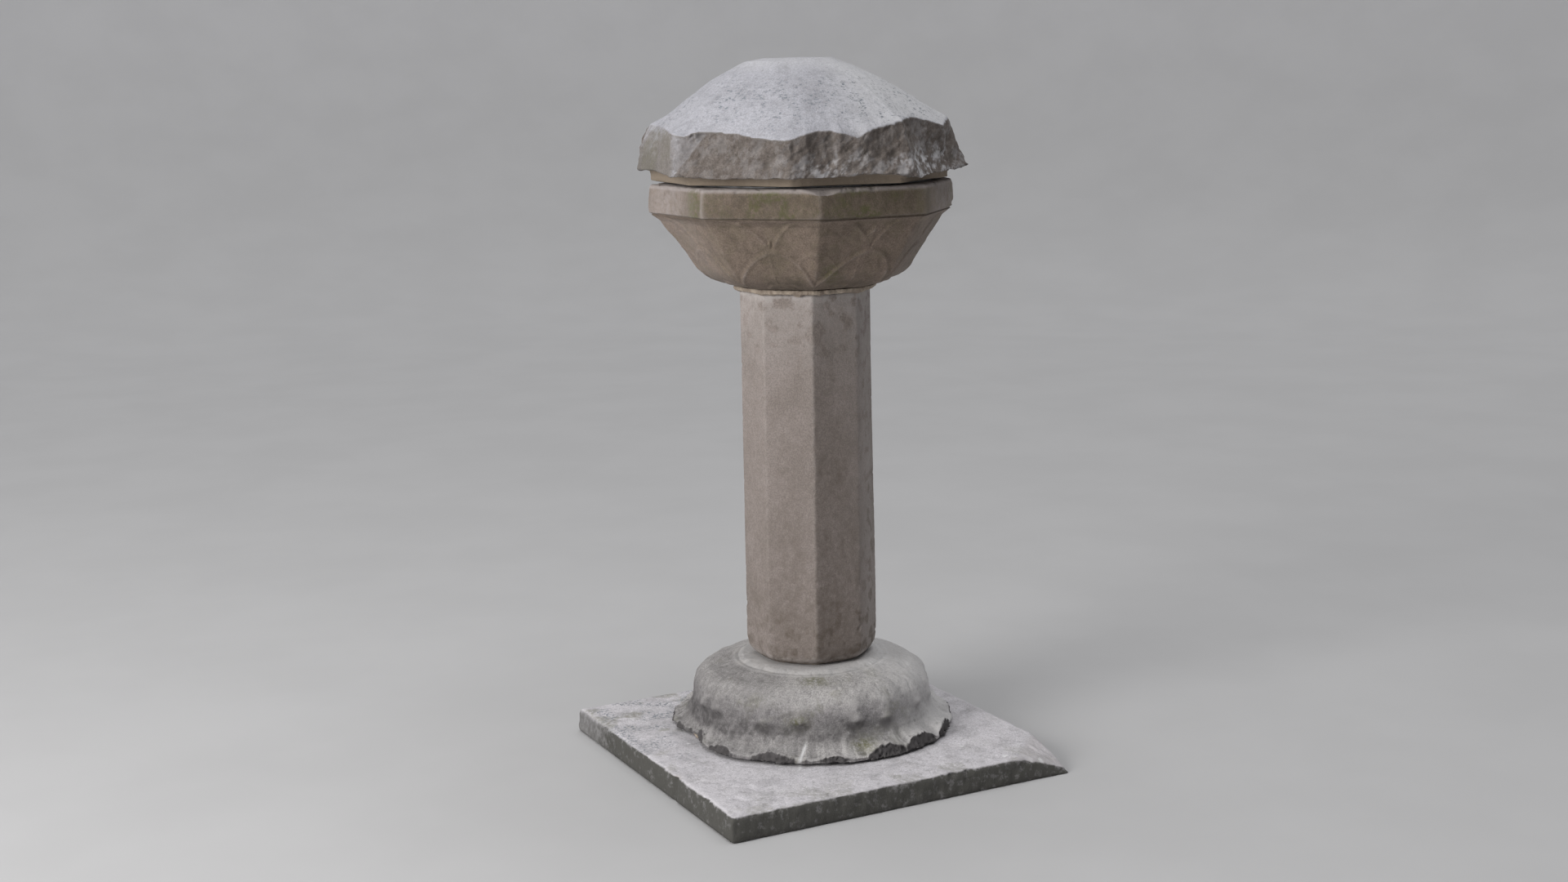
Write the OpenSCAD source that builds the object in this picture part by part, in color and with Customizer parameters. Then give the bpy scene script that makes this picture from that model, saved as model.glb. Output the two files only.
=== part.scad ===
// Baptismal font: an octagonal stone stem and bowl on a carved round base and a square slab,
// closed by a loose eight-sided stone lid. Inside it has a lead-lined basin, a brass drain and
// plug, a lead waste pipe down the stem's axis, and iron dowels run in with lead.
// Millimetres. The origin is on the stem's axis at floor level, +Z up, front towards -Y.
// The stones stand on each other in this order: slab, base, stem, bowl, lid.

/* [Slab] */
// Side of the square slab
slab_w = 666; // [640:1:700]
// Thickness of the slab
slab_t = 45; // [42:1:60]
// Offset of the slab's centre from the stem's axis, along X
slab_dx = -22; // [-30:1:0]
// Offset of the slab's centre from the stem's axis, along Y
slab_dy = -49; // [-55:1:0]
// How far the broken corner reaches in from the corner itself
chip_run = 82; // [60:1:100]
// How far the broken corner drops below the top at the corner
chip_drop = 39; // [20:1:40]

/* [Base] */
// Height of the carved base
base_h = 128; // [124:1:140]
// Radius to the tips of the base's petals
lip_r = 266; // [262:1:275]
// Radius of the shoulder above the petals
shoulder_r = 217; // [212:1:220]
// Radius of the raised ring round the stem's foot
collar_r = 149; // [140:1:160]
// Number of petal tips round the lip
lip_petals = 16; // [12:2:20]

/* [Stem] */
// Stem's width across flats
stem_w = 217; // [205:1:230]
// Height of the stem
stem_h = 670; // [600:5:760]

/* [Bowl] */
// Bowl's width across flats at the rim band
bowl_w = 500; // [495:1:510]
// Height of the bowl
bowl_h = 182; // [180:1:190]
// Height of the plain band at the rim
band_h = 51; // [40:1:54]
// Height of each of the two layers of petal relief
petal_relief = 2.5; // [1.5:0.5:3]
// Radius of the basin's mouth in the stone
basin_r = 186; // [170:1:190]
// Depth of the basin in the stone
basin_depth = 113; // [100:1:116]

/* [Lid] */
// Lid's width across flats at the eaves
eave_w = 540; // [530:1:550]
// Lid's width across flats where it stands on the bowl
step_w = 472; // [460:1:476]
// Height of the lid, without its spigot
lid_h = 211.5; // [200:0.5:220]
// Width across flats of the lid's flat top
top_w = 100; // [80:1:130]
// How far the lid stands turned from the bowl, in degrees
lid_turn = -10.5; // [-22.5:0.5:22.5]
// How far the lid's spigot reaches down into the basin
spigot_h = 14; // [8:1:16]

/* [Drain] */
// Inner radius of the waste pipe
pipe_r = 13; // [12.5:0.1:13.5]
// Inner radius of the pipe's socket at floor level
socket_r = 16.2; // [16:0.1:16.5]
// Depth of that socket
socket_h = 30; // [25:1:35]
// Mean radius of the plug's ring
ring_r = 15; // [14:0.5:17]

/* [Hidden] */
$fn = 96;
eps = 1;              // how far a cutting shape runs past the surface that it cuts
octant = 45;          // one side of the octagon, in degrees

// Joint thicknesses and the height of every bed
base_bed = 3;
foot_bed = 3;
neck_bed = 7;
hair = 0.05;          // the squeezed-out neck mortar stops this short of the stem
seat_t = 3.5;
base_z = slab_t + base_bed;
foot_z = base_z + base_h;
stem_z = foot_z + foot_bed;
neck_z = stem_z + stem_h;
bowl_z = neck_z + neck_bed;
rim_z = bowl_z + bowl_h;
lid_z = rim_z + seat_t;

// Bowl: a round belly, a flank leaning out at 30 degrees from upright, then the band
belly_r = 68;
belly_x = 124;
belly_z = bowl_z + belly_r;
flank_lean = 30;
flank_z = belly_z - belly_r * sin(flank_lean);
flank_x = belly_x + belly_r * cos(flank_lean);
band_z = rim_z - band_h;
flank_top = band_z - 14;
groove_h = 4;         // the groove under the band
groove_depth = 7;
band_batter = 5;      // how much narrower the band is at its top edge, each side
rim_round = 4;
upper_petal_r = 84;   // arches centred on the octagon's corners, cut off by the band
upper_petal_top = band_z + 16;
lower_petal_r = 70;   // arches centred on its faces
lower_petal_top = bowl_z + 74;

// Basin and lining
basin_floor = rim_z - basin_depth;
basin_corner = 60;
lining_t = 3;
lining_drop = 8;      // the lining stops this far below the rim
lining_floor = basin_floor + lining_t;

// Lid
step_h = 17.5;
eave_h = 89;          // height of the top of the upright face above the lid's bed
eave_lean = 4;        // how much narrower the upright face is at its top, each side
spigot_gap = 5;       // between the spigot and the basin's lining
spigot_r = basin_r - lining_t - spigot_gap;
seat_inset = 11;      // how far the seat ring lies back from the lid's step
seat_hole_gap = 4;    // how far it lies back from the basin's mouth

// Drain
drain_bore_r = 20;
pipe_wall = 3.5;
pipe_top = basin_floor - 20;
tail_r = pipe_r - 0.1;
waterway_r = 10;
neck_r = 17;
neck_bottom = pipe_top + 7;
flange_r = 34;
flange_t = 3;
flange_z = lining_floor + flange_t;
seat_top_r = 14.5;
seat_bottom_r = 12;
seat_depth = 14;
plug_gap = 0.5;       // between the plug and its tapered seat, all round
washer_t = 2;
head_r = 21;
head_t = 4;
wire_r = 2;
eye_r = 2.8;
eye_z = flange_z + washer_t + head_t + eye_r;

// Dowel sets: [count, pitch circle's radius, lowest point, highest point, bar radius]
lead_t = 7;           // thickness of the lead run in round each dowel
base_set = [4, 120, slab_t - 28, base_z + 40, 8];
foot_set = [2, 62, foot_z - 42, stem_z + 42, 6];
neck_set = [2, 62, neck_z - 42, bowl_z + 38, 6];

stone_pale = [0.68, 0.66, 0.67];
stone_grey = [0.62, 0.60, 0.57];
stone_warm = [0.58, 0.55, 0.52];
stone_brown = [0.50, 0.46, 0.41];
mortar_tan = [0.68, 0.62, 0.52];
lead_grey = [0.40, 0.41, 0.43];
iron_dark = [0.28, 0.24, 0.22];
brass_dull = [0.66, 0.53, 0.30];
leather_brown = [0.36, 0.23, 0.14];

// Points along a circular arc in the X-Z plane, from angle a0 to a1
function arc(x, z, r, a0, a1, steps = 10) =
    [for (i = [0:steps]) let (a = a0 + (a1 - a0) * i / steps) [x + r * cos(a), z + r * sin(a)]];

// A half outline and its mirror image, as one closed outline
function both_sides(half) =
    concat(half, [for (i = [len(half) - 1:-1:0]) [-half[i][0], half[i][1]]]);

// Eight-sided solid whose outline across every pair of opposite faces is the 2D child
module eight_sided() {
    intersection_for(i = [0:3])
        rotate(octant * i)
            rotate([90, 0, 0])
                linear_extrude(2 * eave_w, center = true)
                    children();
}

module octagon(across, z, h) {
    translate([0, 0, z])
        rotate(octant / 2)
            cylinder(d = across / cos(octant / 2), h = h, $fn = 8);
}

module turned(outline) {
    rotate_extrude() polygon(outline);
}

module rod(r, z0, z1) {
    translate([0, 0, z0]) cylinder(r = r, h = z1 - z0);
}

// One upright rod at each place of a dowel set, longer at both ends by extra
module at_dowels(set, r, extra = 0) {
    count = set[0];
    pitch_r = set[1];
    for (i = [0:count - 1])
        rotate(octant / 2 + 360 / count * i)
            translate([pitch_r, 0, 0])
                rod(r, set[2] - extra, set[3] + extra);
}

module dowel_sockets(set) {
    at_dowels(set, set[4] + lead_t);
}

module dowels(set) {
    color(iron_dark) at_dowels(set, set[4]);
}

module dowel_lead(set) {
    color(lead_grey)
        difference() {
            dowel_sockets(set);
            at_dowels(set, set[4], eps);
        }
}

// Everything that is drilled through or into the stones and their mortar
module drilled() {
    rod(drain_bore_r, -eps, basin_floor + eps);
    dowel_sockets(base_set);
    dowel_sockets(foot_set);
    dowel_sockets(neck_set);
}

// ---- Slab ----

// Flat break that slopes down to the slab's front right corner
module broken_corner() {
    corner = [slab_dx + slab_w / 2, slab_dy - slab_w / 2, slab_t];
    side = 2 * chip_run;
    translate(corner)
        rotate(-octant)
            translate([-chip_run, 0, 0])
                rotate([0, atan2(chip_drop, chip_run), 0])
                    translate([0, -side, 0])
                        cube([side, 2 * side, side]);
}

module ground_slab() {
    color(stone_pale)
        difference() {
            translate([slab_dx - slab_w / 2, slab_dy - slab_w / 2, 0])
                cube([slab_w, slab_w, slab_t]);
            broken_corner();
            drilled();
        }
}

module base_mortar() {
    color(mortar_tan)
        difference() {
            rod(lip_r - 30, slab_t, base_z);
            drilled();
        }
}

// ---- Carved base ----

// Half outline: a lip, a hollow above it, a round shoulder, then a slope up to the collar
function base_outline() =
    let (
        shoulder = 47,
        hollow = 49,
        shoulder_x = shoulder_r - shoulder,
        shoulder_z = base_z + 65,
        slope_top = foot_z - 7
    )
    concat(
        [[0, base_z], [lip_r - 16, base_z], [lip_r, base_z + 5]],
        arc(shoulder_r + hollow, shoulder_z, hollow, -90, -180),
        arc(shoulder_x, shoulder_z, shoulder, 8, 78),
        [[collar_r + 2, slope_top], [collar_r, foot_z], [0, foot_z]]
    );

// Pairs of round bosses on the shoulder, one pair to each side of the octagon
module paired_bosses() {
    boss_r = 18;
    for (side = [0:7], half = [-1, 1])
        rotate(octant * side + 9 * half)
            translate([shoulder_r - 8, 0, base_z + 57])
                sphere(r = boss_r);
}

// Notches that leave the lip as a row of rounded petal tips
module lip_notches() {
    notch_r = 13;
    for (i = [0:lip_petals - 1])
        rotate(360 / lip_petals * (i + 0.5))
            translate([lip_r + 5, 0, base_z - eps])
                cylinder(r = notch_r, h = 30);
}

module carved_base() {
    color(stone_grey)
        difference() {
            union() {
                turned(base_outline());
                paired_bosses();
            }
            lip_notches();
            drilled();
        }
}

module foot_mortar() {
    color(mortar_tan)
        difference() {
            octagon(stem_w - 6, foot_z, foot_bed);
            drilled();
        }
}

// ---- Stem ----

module stem() {
    color(stone_warm)
        difference() {
            octagon(stem_w, stem_z, stem_h);
            drilled();
        }
}

// Bedding mortar squeezed out round the top of the stem
module neck_mortar() {
    squeeze = 13;
    corner_r = stem_w / 2 / cos(octant / 2);
    color(mortar_tan)
        difference() {
            translate([0, 0, neck_z + hair])
                cylinder(r1 = corner_r + 1, r2 = corner_r + squeeze, h = neck_bed - hair);
            drilled();
        }
}

// ---- Bowl ----

// Half outline of the belly and flank: layer 0 is the ground behind the petals
function belly_outline(layer) =
    let (
        grow = (layer - 1) * petal_relief,
        out = grow / cos(flank_lean),
        rise = flank_top - flank_z
    )
    concat(
        arc(belly_x, belly_z, belly_r + grow, -90, -flank_lean),
        [[flank_x + out + rise * tan(flank_lean), flank_top]]
    );

// Half outline of the whole bowl
function bowl_outline() =
    let (w = bowl_w / 2)
    concat(
        belly_outline(0),
        [
            [w - groove_h, band_z - groove_h],
            [w - groove_depth, band_z - groove_h / 2],
            [w - 1, band_z],
            [w, band_z + band_h * 0.3],
            [w - band_batter, rim_z - rim_round],
            [w - band_batter - rim_round, rim_z]
        ]
    );

// One layer of petals: round-topped arches on every eighth of the bowl, the first at angle first
module petal_layer(layer, r, top, first) {
    intersection() {
        eight_sided() polygon(both_sides(belly_outline(layer)));
        for (i = [0:7])
            rotate(first + octant * i)
                translate([0, 0, top - r])
                    rotate([0, 90, 0])
                        cylinder(r = r, h = bowl_w);
        rod(bowl_w, bowl_z, flank_top);
    }
}

// The hollow of the basin, smaller all round by inset
module basin_space(inset, top) {
    r = basin_r - inset;
    corner = basin_corner - inset;
    z = basin_floor + inset;
    turned(concat([[0, z]], arc(r - corner, z + corner, corner, -90, 0), [[r, top], [0, top]]));
}

module bowl() {
    color(stone_brown)
        difference() {
            union() {
                eight_sided() polygon(both_sides(bowl_outline()));
                petal_layer(1, upper_petal_r, upper_petal_top, octant / 2);
                petal_layer(2, lower_petal_r, lower_petal_top, 0);
            }
            basin_space(0, rim_z + eps);
            drilled();
        }
}

module basin_lining() {
    top = rim_z - lining_drop;
    color(lead_grey)
        difference() {
            basin_space(0, top);
            basin_space(lining_t, top + eps);
            rod(neck_r, basin_floor - eps, lining_floor + eps);
        }
}

// ---- Drain ----

module drain_fitting() {
    seat_z = flange_z - seat_depth;
    tail_bottom = pipe_top - 25;
    color(brass_dull)
        turned([
            [waterway_r, tail_bottom], [tail_r, tail_bottom], [tail_r, neck_bottom],
            [neck_r, neck_bottom], [neck_r, lining_floor], [flange_r, lining_floor],
            [flange_r, flange_z - 1], [flange_r - 1, flange_z], [seat_top_r, flange_z],
            [seat_bottom_r, seat_z], [waterway_r, seat_z]
        ]);
}

module solder_joint() {
    pipe_out = pipe_r + pipe_wall;
    color(lead_grey)
        turned([
            [pipe_out, pipe_top - 14], [pipe_out + 2.5, pipe_top - 5], [pipe_out + 3, pipe_top],
            [neck_r, neck_bottom], [tail_r, neck_bottom], [tail_r, pipe_top], [pipe_out, pipe_top]
        ]);
}

module drain_pipe() {
    out = pipe_r + pipe_wall;
    flare = 6;
    color(lead_grey)
        turned([
            [socket_r, 0], [drain_bore_r, 0], [drain_bore_r, socket_h + pipe_wall],
            [out, socket_h + pipe_wall + flare], [out, pipe_top], [pipe_r, pipe_top],
            [pipe_r, socket_h], [socket_r, socket_h]
        ]);
}

module drain_plug() {
    head_z = flange_z + washer_t;
    body_r = seat_top_r - plug_gap;
    eye_w = 6;        // thickness of the plate that the ring's eye is drilled through
    eye_plate_r = 6;
    color(brass_dull)
        difference() {
            union() {
                turned([
                    [0, flange_z - seat_depth], [seat_bottom_r - plug_gap, flange_z - seat_depth],
                    [body_r, flange_z], [body_r, head_z], [head_r, head_z],
                    [head_r, head_z + head_t - 1], [head_r - 2, head_z + head_t],
                    [0, head_z + head_t]
                ]);
                translate([0, 0, eye_z])
                    rotate([0, 90, 0])
                        cylinder(r = eye_plate_r, h = eye_w, center = true);
            }
            translate([0, 0, eye_z])
                rotate([0, 90, 0])
                    cylinder(r = eye_r, h = eye_w + 2 * eps, center = true);
        }
}

module plug_washer() {
    color(leather_brown)
        difference() {
            rod(head_r - 1, flange_z, flange_z + washer_t);
            rod(seat_top_r - plug_gap, flange_z - eps, flange_z + washer_t + eps);
        }
}

// The ring lies flat, with its wire through the plug's eye
module plug_ring() {
    color(brass_dull)
        translate([0, -ring_r, eye_z])
            rotate_extrude() translate([ring_r, 0]) circle(r = wire_r);
}

// ---- Lid and its seat ----

module seat_ring() {
    color(lead_grey)
        difference() {
            rod(step_w / 2 - seat_inset, rim_z, lid_z);
            rod(basin_r + seat_hole_gap, rim_z - eps, lid_z + eps);
        }
}

// Half outline of the lid across two opposite faces
function lid_outline() =
    let (step = step_w / 2, eave = eave_w / 2)
    [
        [step, lid_z], [step + 1, lid_z + step_h], [eave - 6, lid_z + step_h + 2],
        [eave, lid_z + step_h + 8], [eave, lid_z + step_h + 18],
        [eave - eave_lean, lid_z + eave_h], [top_w / 2, lid_z + lid_h]
    ];

// A cone that wears down the ridges between the lid's eight slopes, most of all near the top
module worn_ridges() {
    top_r = top_w / 2 + 1;
    edge_r = eave_w / 2 - 2;
    run = (edge_r - top_r) / (lid_h - eave_h);
    translate([0, 0, lid_z])
        cylinder(r1 = top_r + run * lid_h, r2 = top_r, h = lid_h);
}

// A hollow break in the eaves: how far round from the front, how deep, and how high its deepest
// bite is above the lid's bed
module spall(angle, depth, height, spall_r = 170) {
    tilt = 24;        // of the line from the bite to the hollow's centre
    rotate(angle - 90)
        translate([
            eave_w / 2 - depth + spall_r * cos(tilt), 0, lid_z + height + spall_r * sin(tilt)
        ])
            sphere(r = spall_r);
}

module lid() {
    color(stone_pale)
        difference() {
            union() {
                rotate(lid_turn)
                    intersection() {
                        eight_sided() polygon(both_sides(lid_outline()));
                        worn_ridges();
                    }
                rod(spigot_r, lid_z - spigot_h, lid_z + eps);
            }
            spall(-66, 12, 90);
            spall(-22, 14, 90);
            spall(18, 38, 106, 200);
            spall(60, 37, 104, 200);
            spall(105, 18, 92);
            spall(140, 24, 94);
            spall(180, 14, 92);
            spall(-150, 20, 92);
        }
}

ground_slab();
base_mortar();
carved_base();
foot_mortar();
stem();
neck_mortar();
bowl();
basin_lining();
drain_fitting();
solder_joint();
drain_pipe();
dowels(base_set);  // base_dowels
dowel_lead(base_set);  // base_dowel_lead
dowels(foot_set);  // foot_dowels
dowel_lead(foot_set);  // foot_dowel_lead
dowels(neck_set);  // neck_dowels
dowel_lead(neck_set);  // neck_dowel_lead
seat_ring();
lid();
drain_plug();
plug_washer();
plug_ring();
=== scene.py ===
"""Looks of the baptismal font: weathered stone, lead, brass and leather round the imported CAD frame.

Each stone is one closed grid of points. Its rows run along the stone's profile, from underneath,
up the outside and back down inside. Its columns run round the stem's axis. Lengths are in
millimetres until a mesh is made, heights come from the frame, and angles are measured from the
front (-Y) towards +X.
"""
import itertools
import math

import bpy
import numpy as np
from mathutils import Matrix, Vector


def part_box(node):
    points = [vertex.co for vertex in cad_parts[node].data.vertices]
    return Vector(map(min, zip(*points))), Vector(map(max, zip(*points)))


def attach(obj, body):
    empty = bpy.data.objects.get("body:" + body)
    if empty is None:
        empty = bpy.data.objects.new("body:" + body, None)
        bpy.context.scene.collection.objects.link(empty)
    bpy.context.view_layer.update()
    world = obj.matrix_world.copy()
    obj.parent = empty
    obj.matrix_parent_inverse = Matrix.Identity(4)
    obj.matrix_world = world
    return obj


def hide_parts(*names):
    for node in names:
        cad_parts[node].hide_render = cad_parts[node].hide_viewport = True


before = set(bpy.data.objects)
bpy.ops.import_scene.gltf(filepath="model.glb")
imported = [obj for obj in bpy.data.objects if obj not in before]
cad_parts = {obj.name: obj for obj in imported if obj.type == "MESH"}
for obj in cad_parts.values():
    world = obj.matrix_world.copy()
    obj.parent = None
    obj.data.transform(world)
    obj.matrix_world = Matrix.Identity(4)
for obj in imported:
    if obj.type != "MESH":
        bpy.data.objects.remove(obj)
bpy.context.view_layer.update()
MM = 0.001


def low(node, axis=2):
    """A CAD node's lowest coordinate, in millimetres"""
    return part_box(node)[0][axis] / MM


def high(node, axis=2):
    """A CAD node's highest coordinate, in millimetres"""
    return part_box(node)[1][axis] / MM


# ---- The frame's key sizes ----
SLAB_TOP = high("ground_slab")
SLAB_HALF = (high("ground_slab", 0) - low("ground_slab", 0)) / 2
SLAB_X = (high("ground_slab", 0) + low("ground_slab", 0)) / 2
SLAB_Y = (high("ground_slab", 1) + low("ground_slab", 1)) / 2
BASE_Z = low("carved_base")
FOOT_Z = high("carved_base")
LIP_R = high("carved_base", 0)
STEM_Z = low("stem")
NECK_Z = high("stem")
STEM_R = high("stem", 0)
BOWL_Z = low("bowl")
RIM_Z = high("bowl")
BOWL_R = high("bowl", 0)
SEAT_Z = high("seat_ring")
TOP_Z = high("lid")
SPIGOT_Z = low("lid")
LINING_FLOOR = low("basin_lining")
LINING_TOP = high("basin_lining")
BASIN_R = high("basin_lining", 0)
BORE_R = 20.0  # the drain's way down through the stones
NECK_R = 17.0  # the hole in the lining, and the drain fitting's neck
BEND_R = 60.0  # rounds the basin's side into its floor
EIGHTH = 45.0
LID_TURN = -10.5
LINING_T = 3.0  # the lead's thickness
FRACTURE_LEAN = 55.0  # degrees from upright, of the marks on the lid's broken faces


# ---- Noise, steady from run to run ----
class Noise:
    """Gradient noise over points in space, about -1 to 1, the same at every run"""

    def __init__(self, seed):
        rng = np.random.default_rng(seed)
        self.order = rng.permutation(256)
        slopes = rng.normal(size=(256, 3))
        self.slopes = slopes / np.linalg.norm(slopes, axis=1, keepdims=True)

    def layer(self, points, size):
        scaled = points / size
        cell = np.floor(scaled).astype(int)
        inside = scaled - cell
        fade = inside ** 3 * (inside * (inside * 6 - 15) + 10)
        total = np.zeros(points.shape[:-1])
        for corner in itertools.product((0, 1), repeat=3):
            at = (cell + corner) & 255
            pick = self.order[at[..., 0]]
            pick = self.order[(pick + at[..., 1]) & 255]
            pick = self.order[(pick + at[..., 2]) & 255]
            reach = ((inside - corner) * self.slopes[pick]).sum(-1)
            share = np.where(np.array(corner) == 1, fade, 1 - fade).prod(-1)
            total += reach * share
        return total * 1.7

    def __call__(self, points, size, count=1, gain=0.5):
        """Layers of noise, each half the size of the one before"""
        total = np.zeros(points.shape[:-1])
        for i in range(count):
            total += gain ** i * self.layer(points + 37.1 * i, size / 2 ** i)
        return total


# ---- Curves and windows ----
def rise(x, start, end):
    """0 before start, 1 after end, smooth in between"""
    t = np.clip((x - start) / (end - start), 0, 1)
    return t * t * (3 - 2 * t)


def fall(x, start, end):
    """1 before start, 0 after end, smooth in between"""
    return 1 - rise(x, start, end)


def window(x, start, full, fading, end):
    """1 between full and fading, 0 before start and after end"""
    return rise(x, start, full) * fall(x, fading, end)


def bell(x, width):
    """1 at zero, smoothly down to a third at width on either side"""
    return np.exp(-(x / width) ** 2)


def turned_from(angle, centre, period=360.0):
    """Signed angle from centre, or from the nearest of its repeats round the axis"""
    return (angle - centre + period / 2) % period - period / 2


def near(angle, centre, width):
    """A bell round the axis, width degrees wide on either side of centre"""
    return bell(turned_from(angle, centre), width)


def nears(angle, *spots):
    """The sum of several bells round the axis, each a (strength, centre, width)"""
    return sum(strength * near(angle, centre, width) for strength, centre, width in spots)


def arc(r, z, radius, start, end, share, steps=8):
    """Profile keys along a circular arc"""
    turns = np.radians(np.linspace(start, end, steps + 1))
    return [(r + radius * math.cos(a), z + radius * math.sin(a), share) for a in turns]


def keys_at(r, z, share, *steps):
    """Profile keys at steps (outward, upward[, cell size]) from one radius and height"""
    return [(r + out, z + up, share, *cell) for out, up, *cell in steps]


def polygon(angle, sides, turn, sharp):
    """Radius of a regular polygon whose apothem is 1; a low sharp rounds its corners more"""
    faces = turn + np.arange(sides) * 360.0 / sides
    toward = np.cos(np.radians(angle[:, None] - faces))
    toward = np.maximum(toward, 0)[None]
    sharp = np.asarray(sharp, float).reshape(-1, 1)
    return (toward ** sharp[..., None]).sum(-1) ** (-1 / sharp)


def columns(count, sides=1, turn=0.0):
    """Column angles: evenly spaced along the sides of a polygon, with one on every corner"""
    if sides == 1:
        return np.arange(count) * 360.0 / count
    per_side = count // sides
    half = 180.0 / sides
    along = np.arange(per_side) / per_side * 2 - 1
    one = np.degrees(np.arctan(along * math.tan(math.radians(half))))
    return np.concatenate([turn + 2 * half * i + one for i in range(sides)])


def profile(keys, cell, count, closed=True):
    """Rows between profile keys (radius, height, polygon share[, cell size of the next stretch])

    A closed profile ends where it starts, so its last key gives no row.
    """
    rows = []
    for start, end in zip(keys, keys[1:]):
        a = [np.broadcast_to(np.asarray(v, float), count) for v in start[:3]]
        b = [np.broadcast_to(np.asarray(v, float), count) for v in end[:3]]
        length = np.hypot((b[0] - a[0]).mean(), (b[1] - a[1]).mean())
        step = start[3] if len(start) > 3 else cell
        steps = max(1, round(length / step))
        for i in range(steps):
            rows.append([u + (v - u) * i / steps for u, v in zip(a, b)])
    if not closed:
        rows.append(b)
    return np.array(rows).transpose(1, 0, 2)


def eight_sided(angle, keys, cell, sharp):
    """A closed grid with eight sides where its polygon share is 1: (points, radius, height, share)"""
    radius, height, share = profile(keys, cell, len(angle))
    radius = radius * (1 + share * (polygon(angle, 8, 0.0, sharp) - 1))
    return place(angle, radius, height), radius, height, share


def place(angle, radius, height, x=0.0, y=0.0):
    """Points at an angle and radius round the stem's axis, or round another upright line"""
    turn = np.radians(angle)
    parts = x + radius * np.sin(turn), y - radius * np.cos(turn), height
    return np.stack(np.broadcast_arrays(*parts), -1)


# ---- Grids ----
def normals(points, loop):
    """Outward normals of a grid; with loop its rows close on themselves"""
    across = np.roll(points, -1, 1) - np.roll(points, 1, 1)
    if loop:
        along = np.roll(points, -1, 0) - np.roll(points, 1, 0)
    else:
        along = np.gradient(points, axis=0)
    out = np.cross(across, along)
    return out / (np.linalg.norm(out, axis=-1, keepdims=True) + 1e-9)


def pushed(points, amount, loop):
    """The grid moved along its normals"""
    return points + normals(points, loop) * np.asarray(amount)[..., None]


def smoothed(points, loop, times):
    for _ in range(times):
        if loop:
            above, below = np.roll(points, -1, 0), np.roll(points, 1, 0)
        else:
            above = np.concatenate([points[1:], points[-1:]])
            below = np.concatenate([points[:1], points[:-1]])
        points = (np.roll(points, 1, 1) + np.roll(points, -1, 1) + above + below) / 4
    return points


def proud(points, loop, times=24):
    """How far each point stands out of its surroundings, in millimetres; hollows are negative"""
    gap = points - smoothed(points, loop, times)
    return (gap * normals(points, loop)).sum(-1)


def grid_faces(rows, count, loop):
    index = np.arange(rows * count).reshape(rows, count)
    lower = index if loop else index[:-1]
    upper = np.roll(index, -1, 0) if loop else index[1:]
    corners = [lower, np.roll(lower, -1, 1), np.roll(upper, -1, 1), upper]
    faces = np.stack(corners, -1).reshape(-1, 4).tolist()
    if not loop:
        first, last = rows * count, rows * count + 1
        for i in range(count):
            after = (i + 1) % count
            faces.append([first, int(index[0, after]), int(index[0, i])])
            faces.append([last, int(index[-1, i]), int(index[-1, after])])
    return faces


def add_object(name, data):
    """A new object, in the scene"""
    made = bpy.data.objects.new(name, data)
    bpy.context.scene.collection.objects.link(made)
    return made


def add_mesh(name, points, faces, material):
    """A new smooth object, from points in metres"""
    mesh = bpy.data.meshes.new(name)
    mesh.from_pydata(points.tolist(), [], faces)
    mesh.polygons.foreach_set("use_smooth", [True] * len(mesh.polygons))
    mesh.materials.append(material)
    mesh.update()
    return add_object(name, mesh)


def make_piece(name, points, body, slot, node=None, masks=None, loop=True):
    """A piece made from a grid: it rides on a CAD body and stands for a CAD node"""
    rows, count = points.shape[:2]
    given = masks or {}
    masks = {mask: np.broadcast_to(given.get(mask, 0.0), (rows, count)) for mask in MASKS}
    flat = points.reshape(-1, 3)
    if not loop:
        flat = np.concatenate([flat, [points[0].mean(0), points[-1].mean(0)]])
        masks = {k: np.append(v.ravel(), [v[0].mean(), v[-1].mean()]) for k, v in masks.items()}
    piece = add_mesh(name, flat * MM, grid_faces(rows, count, loop), MATERIALS[slot])
    for mask, values in masks.items():
        layer = piece.data.attributes.new(mask, "FLOAT", "POINT")
        layer.data.foreach_set("value", np.ascontiguousarray(values, np.float32).ravel())
    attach(piece, body)
    if node:
        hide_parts(node)


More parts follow.
